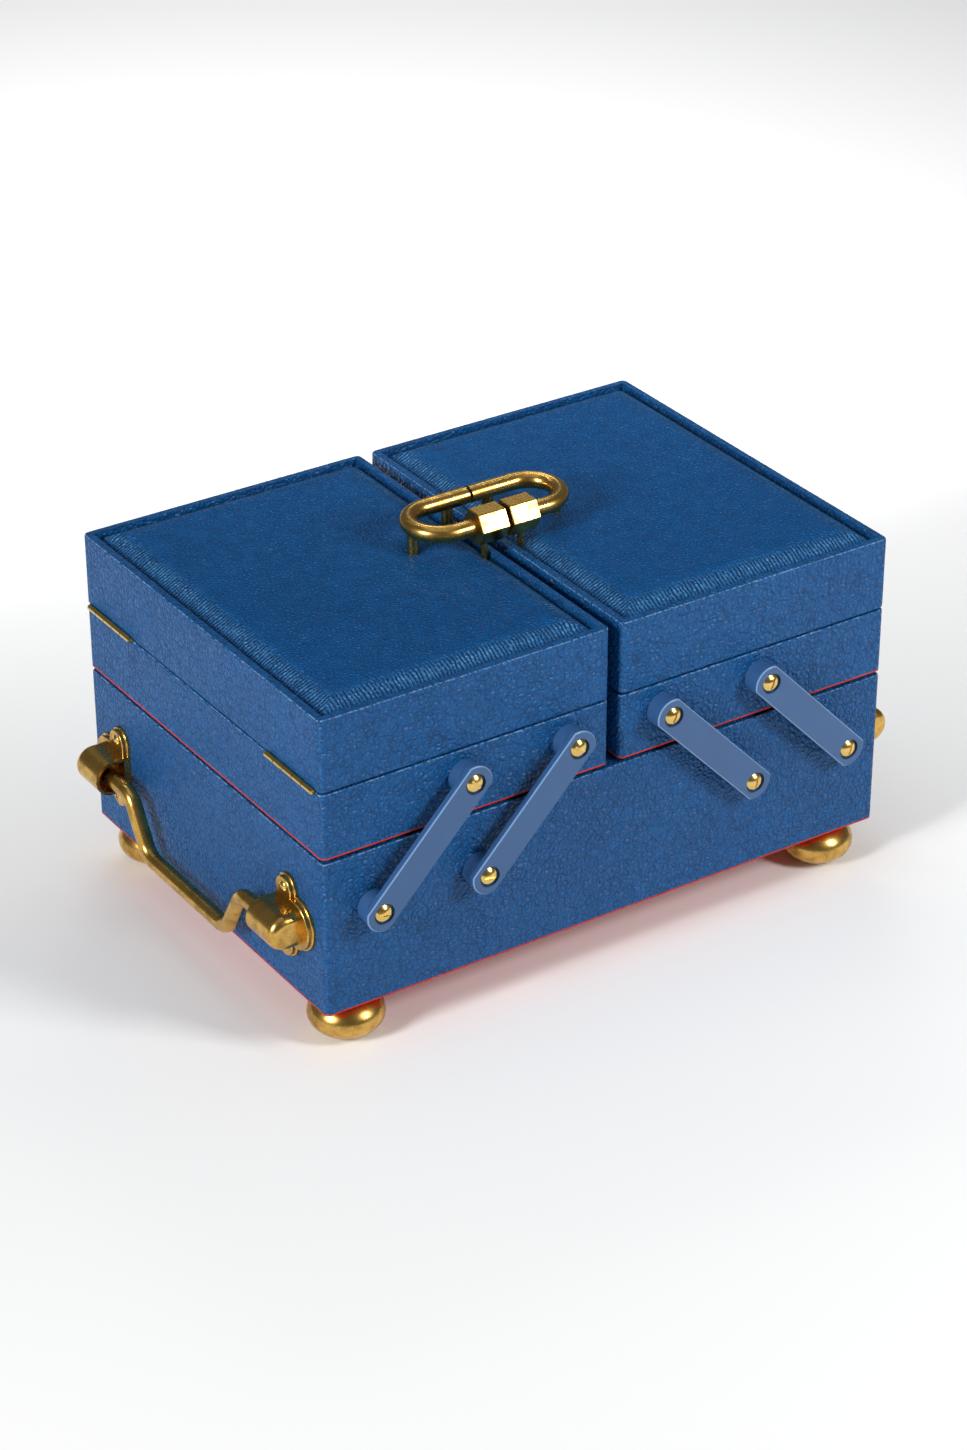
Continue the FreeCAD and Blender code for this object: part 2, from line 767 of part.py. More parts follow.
def save_arms():
    for which in pivot_x:
        solid = arm(which)
        save("left_front_" + which + "_arm", solid)
        save("left_back_" + which + "_arm", front_to_back(solid))
        save("right_front_" + which + "_arm", left_to_right(solid))
        save("right_back_" + which + "_arm", left_to_right(front_to_back(solid)))
    spacers = with_back([pivot_spacer(which, "base") for which in pivot_x])
    save("base_pivot_spacers", with_right(spacers))
    save("base_pivot_screws", side_screws("left", "base") + side_screws("right", "base"))


def both_sides(name, shapes):
    """Writes a left node and its mirror image as the right node."""
    save("left_" + name, shapes)
    save("right_" + name, [left_to_right(shape) for shape in shapes])


def save_trays():
    lower_leaf_z = hinge_z - leaf_half_gap - leaf_thickness
    cuts = pivot_holes("tray") + hinge_rooms(lower_leaf_z, hinge_z)
    boards = tray_plan.boards(tray_z + underside_leather, tray_top - leather)
    both_sides("tray_walls", [cut_all(board, cuts) for board in boards])
    both_sides("tray_bottom_board", [bottom_board(tray_plan, tray_z + underside_leather, tray_bottom)])
    both_sides("tray_leather_wrap", [cut_all(open_box_wrap(tray_plan, tray_z + underside_leather, tray_top), cuts)])
    both_sides("tray_underside_leather", [underside(tray_plan, tray_z)])
    both_sides("tray_lining", [open_box_lining(tray_plan, tray_z + underside_leather + tray_bottom, tray_top)])
    both_sides("tray_pivot_spacers", with_back([pivot_spacer(which, "tray") for which in pivot_x]))
    save("left_tray_pivot_screws", side_screws("left", "tray"))
    save("right_tray_pivot_screws", side_screws("right", "tray"))
    both_sides("hinge_tray_leaves", [hinge_leaf(start, 0, lower_leaf_z) for start, end in hinge_spans()])
    both_sides("hinge_pins", [hinge_pin(start) for start, end in hinge_spans()])


def save_lids():
    upper_leaf_z = hinge_z + leaf_half_gap
    cuts = hinge_rooms(hinge_z, upper_leaf_z + leaf_thickness)
    both_sides("lid_frame", [cut_all(board, cuts) for board in lid_boards()])
    both_sides("lid_panel", [lid_panel_board()])
    both_sides("lid_leather_wrap", [cut_all(lid_wrap(), cuts)])
    both_sides("lid_lining", [lid_lining()])
    both_sides("lid_pad", [lid_pad()])
    both_sides("hinge_lid_leaves", [hinge_leaf(start, 1, upper_leaf_z) for start, end in hinge_spans()])
    both_sides("clasp_link", [link_half()])
    both_sides("clasp_nut", [hex_nut()])
    both_sides("clasp_posts", clasp_posts())


os.makedirs("parts", exist_ok=True)
save_base()
save_handles()
save_arms()
save_trays()
save_lids()
print("arm length", round(arm_length, 2), "arm run", round(arm_run, 2), "full swing", round(180 - 2 * arm_angle, 1))
print("pivots z", round(base_pivot_z, 2), round(tray_pivot_z, 2), "hinge axis", round(hinge_x, 2), round(hinge_z, 2))
print("bail axis", round(bail_x(), 2), round(bail_z(), 2), "link z", round(link_z, 2), "lid top", round(lid_top, 2))
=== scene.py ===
import json
import math
import bpy
import bmesh
import numpy as np
from mathutils import Matrix, Vector, noise

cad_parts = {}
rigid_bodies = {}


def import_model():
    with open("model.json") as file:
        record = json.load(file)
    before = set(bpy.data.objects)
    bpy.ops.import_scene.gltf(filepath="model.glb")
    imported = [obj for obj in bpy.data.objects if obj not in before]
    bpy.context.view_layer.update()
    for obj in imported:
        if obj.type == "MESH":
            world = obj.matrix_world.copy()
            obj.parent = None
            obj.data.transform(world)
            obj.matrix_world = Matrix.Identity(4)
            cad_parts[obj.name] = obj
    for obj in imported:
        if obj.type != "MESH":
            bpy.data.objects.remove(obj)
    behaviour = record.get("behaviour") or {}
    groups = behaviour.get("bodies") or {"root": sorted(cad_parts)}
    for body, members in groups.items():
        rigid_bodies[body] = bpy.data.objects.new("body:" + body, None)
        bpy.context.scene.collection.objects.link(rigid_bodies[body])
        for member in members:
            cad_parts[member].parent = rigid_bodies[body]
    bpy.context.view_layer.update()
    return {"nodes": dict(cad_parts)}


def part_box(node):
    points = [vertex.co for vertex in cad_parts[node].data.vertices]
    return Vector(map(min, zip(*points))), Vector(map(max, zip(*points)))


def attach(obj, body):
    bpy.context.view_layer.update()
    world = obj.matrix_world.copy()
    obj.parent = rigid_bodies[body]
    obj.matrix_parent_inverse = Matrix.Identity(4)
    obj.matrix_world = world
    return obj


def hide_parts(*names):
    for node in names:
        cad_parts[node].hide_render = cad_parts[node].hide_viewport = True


# A leather sewing box with two lidded trays. Metres, Z up, front towards -Y.

for leftover in list(bpy.data.objects):
    bpy.data.objects.remove(leftover)
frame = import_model()
nodes = frame["nodes"]
mm = 0.001
print("frame loaded,", len(nodes), "CAD nodes")


# sRGB hex to the linear colour that shaders use
def linearColour(hexValue):
    parts = [int(hexValue[i:i + 2], 16) / 255 for i in (1, 3, 5)]
    return [c / 12.92 if c <= 0.04045 else ((c + 0.055) / 1.055) ** 2.4 for c in parts] + [1.0]


# one node with its settings and links; a key is an input's name or number, or a property
def addNode(tree, kind, settings=None, links=None):
    node = tree.nodes.new(kind)
    for key, value in (settings or {}).items():
        if isinstance(key, int) or key in node.inputs:
            node.inputs[key].default_value = value
        else:
            setattr(node, key, value)
    for key, source in (links or {}).items():
        tree.links.new(source.outputs[0] if hasattr(source, "outputs") else source, node.inputs[key])
    return node


def newMaterial(name):
    material = bpy.data.materials.new(name)
    material.use_nodes = True
    tree = material.node_tree
    tree.nodes.clear()
    place = addNode(tree, "ShaderNodeTexCoord")
    return material, tree, place


def finishMaterial(tree, settings, links):
    shader = addNode(tree, "ShaderNodeBsdfPrincipled", settings, links)
    addNode(tree, "ShaderNodeOutputMaterial", {}, {"Surface": shader})


# how far a surface turns away from the box's own faces: 0 on a flat side, 1 on a rounded rim
def rimMask(tree, place):
    facing = addNode(tree, "ShaderNodeVectorMath", {"operation": "ABSOLUTE"}, {0: place.outputs["Normal"]})
    split = addNode(tree, "ShaderNodeSeparateXYZ", {}, {0: facing})
    sideways = addNode(tree, "ShaderNodeMath", {"operation": "MAXIMUM"},
                       {0: split.outputs[0], 1: split.outputs[1]})
    flat = addNode(tree, "ShaderNodeMath", {"operation": "MAXIMUM"}, {0: sideways, 1: split.outputs[2]})
    return addNode(tree, "ShaderNodeMapRange",
                   {"From Min": 0.90, "From Max": 0.72, "To Min": 0.0, "To Max": 1.0}, {"Value": flat})


# distance from the nearest crease of an irregular cell pattern
def cellEdges(tree, coords, cell, wander):
    bend = addNode(tree, "ShaderNodeTexNoise", {"Scale": 1 / (cell * 1.7), "Detail": 2.0}, {"Vector": coords})
    warp = addNode(tree, "ShaderNodeVectorMath", {"operation": "MULTIPLY_ADD", 1: [cell * wander] * 3},
                   {0: bend.outputs["Color"], 2: coords})
    cells = addNode(tree, "ShaderNodeTexVoronoi", {"feature": "DISTANCE_TO_EDGE", "Scale": 1 / cell},
                    {"Vector": warp})
    return cells.outputs["Distance"]


# Embossed calf leather: pressed with a pebble grain and finished with a satin pigment coat.
# It gives the eye small irregular cells with painted shade in the creases, a cloudy tone, and rims rubbed
# lighter with a painted highlight on them.
# A padded panel also carries painted attributes, for close folds across its roll and a painted highlight band
# along it.
def embossedLeather(name, look):
    material, tree, place = newMaterial(name)
    coords = place.outputs["Object"]
    fine = cellEdges(tree, coords, look["cell"], look["wander"])
    broad = cellEdges(tree, coords, look["broadCell"], look["wander"])
    patches = addNode(tree, "ShaderNodeTexNoise", {"Scale": 1 / (9 * mm), "Detail": 3.0}, {"Vector": coords})
    depth = addNode(tree, "ShaderNodeMapRange",
                    {"From Min": 0.38, "From Max": 0.6, "To Min": 0.75, "To Max": 1.0}, {"Value": patches})
    folds = []
    if look["folds"]:
        for attribute, direction in (("foldX", "X"), ("foldY", "Y")):
            painted = addNode(tree, "ShaderNodeAttribute", {"attribute_name": attribute})
            # a wave's period is 0.314 over its scale
            wave = addNode(tree, "ShaderNodeTexWave",
                           {"bands_direction": direction, "Scale": 0.314 / look["foldSpacing"],
                            "Distortion": 3.4, "Detail": 2.0, "Detail Scale": 1.1}, {"Vector": coords})
            folds.append((wave.outputs["Fac"], painted.outputs["Fac"]))

    # every cell is a small cushion, so the hollow between two is wider than the line of painted shade in it;
    # each pattern has the width of its crease, what it's masked by, and its share
    creases = {}
    for crease, fineWidth, broadWidth, foldWidth in (("hollow", 0.42, 0.2, 0.6), ("line", 0.16, 0.07, 0.22)):
        patterns = [(fine, fineWidth, depth, look["fineShare"])]
        patterns += [(broad, broadWidth, None, look["broadShare"])]
        patterns += [(wave, foldWidth, painted, look["foldShare"]) for wave, painted in folds]
        total = None
        for distance, width, mask, share in patterns:
            near = addNode(tree, "ShaderNodeMapRange",
                           {"From Min": width, "From Max": 0.0, "interpolation_type": "SMOOTHSTEP"},
                           {"Value": distance})
            if mask is not None:
                near = addNode(tree, "ShaderNodeMath", {"operation": "MULTIPLY"}, {0: near, 1: mask})
            part = addNode(tree, "ShaderNodeMath", {"operation": "MULTIPLY", 1: share}, {0: near})
            if total is not None:
                part = addNode(tree, "ShaderNodeMath", {"operation": "ADD"}, {0: total, 1: part})
            total = part
        creases[crease] = total
    hollow, line = creases["hollow"], creases["line"]
    bump = addNode(tree, "ShaderNodeBump",
                   {"Strength": look["bump"], "Distance": look["depth"], "invert": True}, {"Height": hollow})

    cloud = addNode(tree, "ShaderNodeTexNoise", {"Scale": 1 / (40 * mm), "Detail": 3.0}, {"Vector": coords})
    tone = addNode(tree, "ShaderNodeMix", {"data_type": "RGBA", 6: linearColour(look["colour"]),
                                           7: linearColour(look["cloudColour"])}, {0: cloud})
    # painted shade: the hollows and the crease lines are mixed towards the dark crease colour
    for crease, share in ((hollow, look["hollowShadeTone"]), (line, look["creaseShadeTone"])):
        dark = addNode(tree, "ShaderNodeMath", {"operation": "MULTIPLY", 1: share, "use_clamp": True},
                       {0: crease})
        tone = addNode(tree, "ShaderNodeMix", {"data_type": "RGBA", 7: linearColour(look["creaseShadeColour"])},
                       {0: dark, 6: tone.outputs[2]})

    # rubbed through in patches on the rims, plus a painted highlight that grows where the rims face up
    rim = rimMask(tree, place)
    rub = addNode(tree, "ShaderNodeTexNoise", {"Scale": 1 / (1.6 * mm), "Detail": 4.0}, {"Vector": coords})
    broken = addNode(tree, "ShaderNodeMapRange", {"From Min": 0.42, "From Max": 0.6}, {"Value": rub})
    level = addNode(tree, "ShaderNodeSeparateXYZ", {}, {0: place.outputs["Normal"]})
    facesUpHighlight = addNode(tree, "ShaderNodeMapRange",
                    {"From Min": 0.2, "From Max": 0.5, "To Min": 0.12, "To Max": 1.0},
                    {"Value": level.outputs[2]})
    rimUp = addNode(tree, "ShaderNodeMath", {"operation": "MULTIPLY"}, {0: rim, 1: facesUpHighlight})
    rubbedAndLitRim = addNode(tree, "ShaderNodeMath", {"operation": "MULTIPLY"}, {0: rimUp, 1: broken})
    rimWearAndHighlight = addNode(tree, "ShaderNodeMath", {"operation": "MULTIPLY", 1: look["rimWearAndHighlight"]}, {0: rubbedAndLitRim})
    wornAndLitTone = addNode(tree, "ShaderNodeMix", {"data_type": "RGBA", 7: linearColour(look["rimWearAndHighlightColour"])},
                   {0: rimWearAndHighlight, 6: tone.outputs[2]})
    if look["folds"]:
        # painted highlight: a lighter band along the roll, kept off the folds
        inBand = addNode(tree, "ShaderNodeAttribute", {"attribute_name": "stretch"})
        between = addNode(tree, "ShaderNodeMapRange",
                          {"From Min": 0.1, "From Max": 1.3, "To Min": look["bandHighlightTone"], "To Max": 0.0},
                          {"Value": hollow})
        bandHighlight = addNode(tree, "ShaderNodeMath", {"operation": "MULTIPLY"},
                       {0: inBand.outputs["Fac"], 1: between})
        wornAndLitTone = addNode(tree, "ShaderNodeMix", {"data_type": "RGBA", 7: linearColour(look["bandHighlightColour"])},
                       {0: bandHighlight, 6: wornAndLitTone.outputs[2]})
    gloss = addNode(tree, "ShaderNodeMapRange", {"From Min": 0.0, "From Max": 1.0, "To Min": look["rough"],
                                                 "To Max": look["rough"] + 0.2}, {"Value": line})
    finishMaterial(tree, {"IOR": 1.45, "Specular IOR Level": look["specular"]},
                   {"Base Color": wornAndLitTone.outputs[2], "Roughness": gloss, "Normal": bump})
    return material


leatherLook = {
    "cell": 2.4 * mm, "broadCell": 6.0 * mm, "wander": 0.7, "fineShare": 0.85, "broadShare": 0.45,
    "folds": False, "foldSpacing": 1.9 * mm, "foldShare": 0.0, "bump": 1.0, "depth": 0.6 * mm,
    "colour": "#06508C", "cloudColour": "#095A98", "creaseShadeColour": "#022648", "creaseShadeTone": 0.6,
    "hollowShadeTone": 0.1, "rimWearAndHighlightColour": "#8FAFD0", "rimWearAndHighlight": 0.8, "rough": 0.38, "specular": 0.34,
}
boxLeather = embossedLeather("embossed blue calf leather", leatherLook)

# softer, finer and less shiny than the box's own leather, with no rubbed rims and no painted rim highlight
padLook = dict(leatherLook)
padLook.update({
    "cell": 2.0 * mm, "fineShare": 1.0, "broadShare": 0.15, "depth": 0.6 * mm, "creaseShadeTone": 0.55,
    "hollowShadeTone": 0.12, "rimWearAndHighlight": 0.0, "rough": 0.34, "specular": 0.22, "folds": True, "foldShare": 1.0,
    "colour": "#02508E", "cloudColour": "#045A9A", "bandHighlightColour": "#5A9BD0", "bandHighlightTone": 0.85,
})
padLeather = embossedLeather("fine grain blue leather over foam", padLook)

# skiver: leather split thin and dyed red, dull and nearly smooth
skiverLook = dict(leatherLook)
skiverLook.update({
    "cell": 0.9 * mm, "bump": 0.3, "depth": 0.08 * mm, "colour": "#C22A18", "cloudColour": "#D03820",
    "creaseShadeColour": "#A82014", "rimWearAndHighlightColour": "#FF7A50", "rimWearAndHighlight": 1.0, "rough": 0.6, "creaseShadeTone": 0.5,
})
redSkiver = embossedLeather("red skiver leather", skiverLook)


# Suede: the split side of the hide, brushed up. Short nap gives patches that catch light at the edges.
def brushedSuede(name, look):
    material, tree, place = newMaterial(name)
    coords = place.outputs["Object"]
    nap = addNode(tree, "ShaderNodeTexNoise", {"Scale": 1 / (0.6 * mm), "Detail": 5.0}, {"Vector": coords})
    sweep = addNode(tree, "ShaderNodeTexNoise", {"Scale": 1 / (18 * mm), "Detail": 3.0, "Distortion": 1.2},
                    {"Vector": coords})
    share = addNode(tree, "ShaderNodeMath", {"operation": "MULTIPLY"}, {0: nap, 1: sweep})
    spread = addNode(tree, "ShaderNodeMapRange", {"From Min": 0.12, "From Max": 0.42}, {"Value": share})
    tone = addNode(tree, "ShaderNodeMix", {"data_type": "RGBA", 6: linearColour(look["dark"]),
                                           7: linearColour(look["light"])}, {0: spread})
    bump = addNode(tree, "ShaderNodeBump", {"Strength": 0.5, "Distance": 0.12 * mm}, {"Height": nap})
    finishMaterial(tree, {"Roughness": 0.95, "Sheen Weight": 0.6, "Sheen Roughness": 0.5},
                   {"Base Color": tone.outputs[2], "Normal": bump})
    return material


suedeLook = {"dark": "#6E1512", "light": "#A82A20"}
redSuede = brushedSuede("brushed red suede", suedeLook)


# Birch plywood: rotary-cut veneers. It gives the eye long pale grain with faint dark pores.
def birchPly(name, look):
    material, tree, place = newMaterial(name)
    coords = place.outputs["Object"]
    stretch = addNode(tree, "ShaderNodeMapping", {"Scale": [0.06, 1.0, 1.0]}, {"Vector": coords})
    grain = addNode(tree, "ShaderNodeTexNoise", {"Scale": 1 / (1.2 * mm), "Detail": 6.0}, {"Vector": stretch})
    tone = addNode(tree, "ShaderNodeMix", {"data_type": "RGBA", 6: linearColour(look["dark"]),
                                           7: linearColour(look["light"])}, {0: grain})
    bump = addNode(tree, "ShaderNodeBump", {"Strength": 0.3, "Distance": 0.05 * mm}, {"Height": grain})
    finishMaterial(tree, {"Roughness": 0.6}, {"Base Color": tone.outputs[2], "Normal": bump})
    return material


plyLook = {"dark": "#B98E5A", "light": "#E2C595"}
plywood = birchPly("birch plywood", plyLook)


# Powder-painted steel: sprayed and baked. It gives the eye an even satin coat with a faint orange peel, and
# a painted highlight on the chamfers.
def powderPaint(name, look):
    material, tree, place = newMaterial(name)
    coords = place.outputs["Object"]
    peel = addNode(tree, "ShaderNodeTexNoise", {"Scale": 1 / (0.7 * mm), "Detail": 2.0}, {"Vector": coords})
    cloud = addNode(tree, "ShaderNodeTexNoise", {"Scale": 1 / (20 * mm), "Detail": 2.0}, {"Vector": coords})
    tone = addNode(tree, "ShaderNodeMix", {"data_type": "RGBA", 6: linearColour(look["colour"]),
                                           7: linearColour(look["cloudColour"])}, {0: cloud})
    # a chamfer is neither square to the arm's face nor in line with it
    facing = addNode(tree, "ShaderNodeVectorMath", {"operation": "ABSOLUTE"}, {0: place.outputs["Normal"]})
    split = addNode(tree, "ShaderNodeSeparateXYZ", {}, {0: facing})
    rest = addNode(tree, "ShaderNodeMath", {"operation": "SUBTRACT", 0: 1.0}, {1: split.outputs[1]})
    both = addNode(tree, "ShaderNodeMath", {"operation": "MULTIPLY"}, {0: rest, 1: split.outputs[1]})
    chamfer = addNode(tree, "ShaderNodeMapRange", {"From Min": 0.12, "From Max": 0.2}, {"Value": both})
    # painted highlight: the chamfers are mixed towards a pale blue highlight colour
    chamferHighlight = addNode(tree, "ShaderNodeMath", {"operation": "MULTIPLY", 1: look["chamferHighlightShare"]}, {0: chamfer})
    highlightedTone = addNode(tree, "ShaderNodeMix", {"data_type": "RGBA", 7: linearColour(look["chamferHighlightColour"])},
                    {0: chamferHighlight, 6: tone.outputs[2]})
    bump = addNode(tree, "ShaderNodeBump", {"Strength": 0.12, "Distance": 0.04 * mm}, {"Height": peel})
    finishMaterial(tree, {"Roughness": look["rough"], "IOR": 1.5, "Coat Weight": 0.15, "Coat Roughness": 0.3},
                   {"Base Color": highlightedTone.outputs[2], "Normal": bump})
    return material


paintLook = {"colour": "#2C5280", "cloudColour": "#335B8B", "chamferHighlightColour": "#8FB2DA", "chamferHighlightShare": 0.55,
             "rough": 0.38}
armPaint = powderPaint("satin blue powder paint", paintLook)


# Antique brass: cast, tumbled and toned brown, then rubbed back. It gives the eye soft gold with brown
# mottling, small pits and a slightly uneven shine.
def tonedBrass(name, look):
    material, tree, place = newMaterial(name)
    coords = place.outputs["Object"]
    mottle = addNode(tree, "ShaderNodeTexNoise", {"Scale": 1 / (6 * mm), "Detail": 5.0, "Roughness": 0.6},
                     {"Vector": coords})
    patch = addNode(tree, "ShaderNodeMapRange", {"From Min": 0.42, "From Max": 0.72}, {"Value": mottle})
    specks = addNode(tree, "ShaderNodeTexVoronoi", {"Scale": 1 / (1.4 * mm)}, {"Vector": coords})
    pit = addNode(tree, "ShaderNodeMapRange", {"From Min": 0.16, "From Max": 0.05},
                  {"Value": specks.outputs["Distance"]})
    stain = addNode(tree, "ShaderNodeMath", {"operation": "MAXIMUM"}, {0: patch, 1: pit})
    share = addNode(tree, "ShaderNodeMath", {"operation": "MULTIPLY", 1: look["patina"]}, {0: stain})
    tone = addNode(tree, "ShaderNodeMix", {"data_type": "RGBA", 6: linearColour(look["colour"]),
                                           7: linearColour(look["patinaColour"])}, {0: share})
    dents = addNode(tree, "ShaderNodeTexNoise", {"Scale": 1 / (0.7 * mm), "Detail": 2.0}, {"Vector": coords})
    gloss = addNode(tree, "ShaderNodeMapRange",
                    {"From Min": 0.3, "From Max": 0.7, "To Min": look["rough"] - 0.05,
                     "To Max": look["rough"] + 0.1}, {"Value": mottle})
    bump = addNode(tree, "ShaderNodeBump", {"Strength": look["bump"], "Distance": 0.03 * mm},
                   {"Height": dents})
    finishMaterial(tree, {"Metallic": 1.0},
                   {"Base Color": tone.outputs[2], "Roughness": gloss, "Normal": bump})
    return material


antiqueLook = {"colour": "#DCB05C", "patinaColour": "#5E380E", "patina": 0.6, "rough": 0.24, "bump": 0.06}
antiqueBrass = tonedBrass("antique brass castings", antiqueLook)
# turned on a lathe and buffed: paler and cleaner, so the screws and hinges catch more light
polishedLook = {"colour": "#E9C676", "patinaColour": "#A57A30", "patina": 0.2, "rough": 0.18, "bump": 0.04}
polishedBrass = tonedBrass("turned and polished brass", polishedLook)
# zinc plate: the same uneven shine in cool grey
steelLook = {"colour": "#B9BCC0", "patinaColour": "#6E7277", "patina": 0.3, "rough": 0.3, "bump": 0.2}
zincSteel = tonedBrass("zinc plated steel", steelLook)

finishes = {
    "blue_leather": boxLeather, "padded_leather": padLeather, "red_leather": redSkiver,
    "suede_lining": redSuede, "plywood": plywood, "painted_arm": armPaint,
    "antique_brass": antiqueBrass, "polished_brass": polishedBrass, "steel": zincSteel,
}
for node in nodes.values():
    for i, old in enumerate(node.data.materials):
        node.data.materials[i] = finishes[old.name.split(".")[0]]
print("materials assigned")


padShape = {
    "grid": 2.6 * mm,        # spacing of the cloth's points
    "crowd": 0.92,           # how much they crowd towards the border, where the roll needs them
    "startInset": 0.4 * mm,  # the foam starts this much smaller, and swells
    "roll": 9.5 * mm,        # width of the border that slopes down to the rim
    "rollDrop": 4.6 * mm,
    "rollCurve": 1.15,
    "corner": 5.0 * mm,
    "pressure": 4.0,
    "frames": 20,
    "cap": 0.5 * mm,         # furthest a point may move
    "pucker": 0.16 * mm,     # small ripples near the border
    "puckerReach": 16 * mm,
    "puckerWidth": 3.4 * mm,
    "puckerLength": 17 * mm,
    "sag": 0.14 * mm,        # slow unevenness of the whole face
    "sagLength": 24 * mm,
    "dimple": 0.9 * mm,      # how far each post pulls the leather down
    "dimpleReach": 5.0 * mm,
    "foldBlend": 2.0 * mm,   # over this width the painted folds fade out, or turn a corner
    "bandHighlightPlace": 0.62,       # where along the roll the painted highlight band is brightest
    "bandHighlightWidth": 3.0 * mm,
}


# a point of a rectangle drawn in to the rounded outline
def roundedPoint(x, y, halfX, halfY, corner):
    inX, inY = halfX - corner, halfY - corner
    overX, overY = abs(x) - inX, abs(y) - inY
    if overX > 0 and overY > 0:
        reach = max(overX, overY)
        length = math.hypot(overX, overY)
        overX, overY = overX / length * reach, overY / length * reach
        x = math.copysign(inX + overX, x)
        y = math.copysign(inY + overY, y)
    return x, y


def edgeDistance(x, y, halfX, halfY, corner):
    overX, overY = abs(x) - (halfX - corner), abs(y) - (halfY - corner)
    if overX > 0 and overY > 0:
        return corner - math.hypot(overX, overY)
    return min(halfX - abs(x), halfY - abs(y))


# closed pad: a flat back, upright edge, and a crowned face whose border rolls over
def padMesh(low, high):
    halfX = (high.x - low.x) / 2 - padShape["startInset"]
    halfY = (high.y - low.y) / 2 - padShape["startInset"]
    countX = round(2 * halfX / padShape["grid"])
    countY = round(2 * halfY / padShape["grid"])
    centre = (low + high) / 2
    roll, crowd = padShape["roll"], padShape["crowd"]
    mesh = bmesh.new()
    sheets = []
    for level in ("face", "back"):
        rows = []
        for i in range(countX + 1):
            row = []
            for j in range(countY + 1):
                u = math.sin(math.pi / 2 * (2 * i / countX - 1) * crowd) / math.sin(math.pi / 2 * crowd)
                v = math.sin(math.pi / 2 * (2 * j / countY - 1) * crowd) / math.sin(math.pi / 2 * crowd)
                x, y = roundedPoint(u * halfX, v * halfY, halfX, halfY, padShape["corner"])
                z = low.z
                if level == "face":
                    d = max(edgeDistance(x, y, halfX, halfY, padShape["corner"]), 0.0)
                    drop = padShape["rollDrop"] * (1 - d / roll) ** padShape["rollCurve"] if d < roll else 0.0
                    z = high.z - padShape["startInset"] - drop
                row.append(mesh.verts.new((centre.x + x, centre.y + y, z)))
            rows.append(row)
        sheets.append(rows)
    face, back = sheets
    for i in range(countX):
        for j in range(countY):
            mesh.faces.new((face[i][j], face[i + 1][j], face[i + 1][j + 1], face[i][j + 1]))
            mesh.faces.new((back[i][j], back[i][j + 1], back[i + 1][j + 1], back[i + 1][j]))
    ring = [(i, 0) for i in range(countX)] + [(countX, j) for j in range(countY)]
    ring += [(i, countY) for i in range(countX, 0, -1)] + [(0, j) for j in range(countY, 0, -1)]
    for (i, j), (k, m) in zip(ring, ring[1:] + ring[:1]):
        mesh.faces.new((face[i][j], back[i][j], back[k][m], face[k][m]))
    return mesh


def cutPad(name, low, high):
    mesh = padMesh(low, high)
    data = bpy.data.meshes.new(name)
    mesh.to_mesh(data)
    mesh.free()
    pad = bpy.data.objects.new(name, data)
    bpy.context.scene.collection.objects.link(pad)
    return pad


# foam filled out by a short cloth simulation, with the back glued to the panel
def inflate(pad, low):
    start = np.array([v.co for v in pad.data.vertices])
    glued = pad.vertex_groups.new(name="glued")
    glued.add([v.index for v in pad.data.vertices if v.co.z < low.z + 0.5 * mm], 1.0, "REPLACE")
    cloth = pad.modifiers.new("foam", "CLOTH")
    cloth.settings.use_pressure = True
    cloth.settings.uniform_pressure_force = padShape["pressure"]
    cloth.settings.vertex_group_mass = "glued"
    cloth.settings.quality = 6
    cloth.settings.mass = 0.25
    cloth.settings.tension_stiffness = 25
    cloth.settings.compression_stiffness = 25
    cloth.settings.bending_stiffness = 0.6
    cloth.settings.effector_weights.gravity = 0
    cloth.point_cache.frame_start = 1
    cloth.point_cache.frame_end = padShape["frames"]
    for step in range(1, padShape["frames"] + 1):
        bpy.context.scene.frame_set(step)
    settled = pad.evaluated_get(bpy.context.evaluated_depsgraph_get()).to_mesh()
    moved = np.array([v.co for v in settled.vertices]) - start
    pad.evaluated_get(bpy.context.evaluated_depsgraph_get()).to_mesh_clear()
    pad.modifiers.remove(cloth)
    pad.vertex_groups.clear()
    bpy.context.scene.frame_set(1)
    length = np.linalg.norm(moved, axis=1)
    print("  foam moved", round(float(length.max()) * 1000, 2), "mm at most before the cap")
    return moved


def capMoves(start, moved):
    length = np.linalg.norm(moved, axis=1)
    cap = padShape["cap"]
    soft = cap * np.tanh(length / cap)
    return start + moved * (soft / np.maximum(length, 1e-9))[:, None]


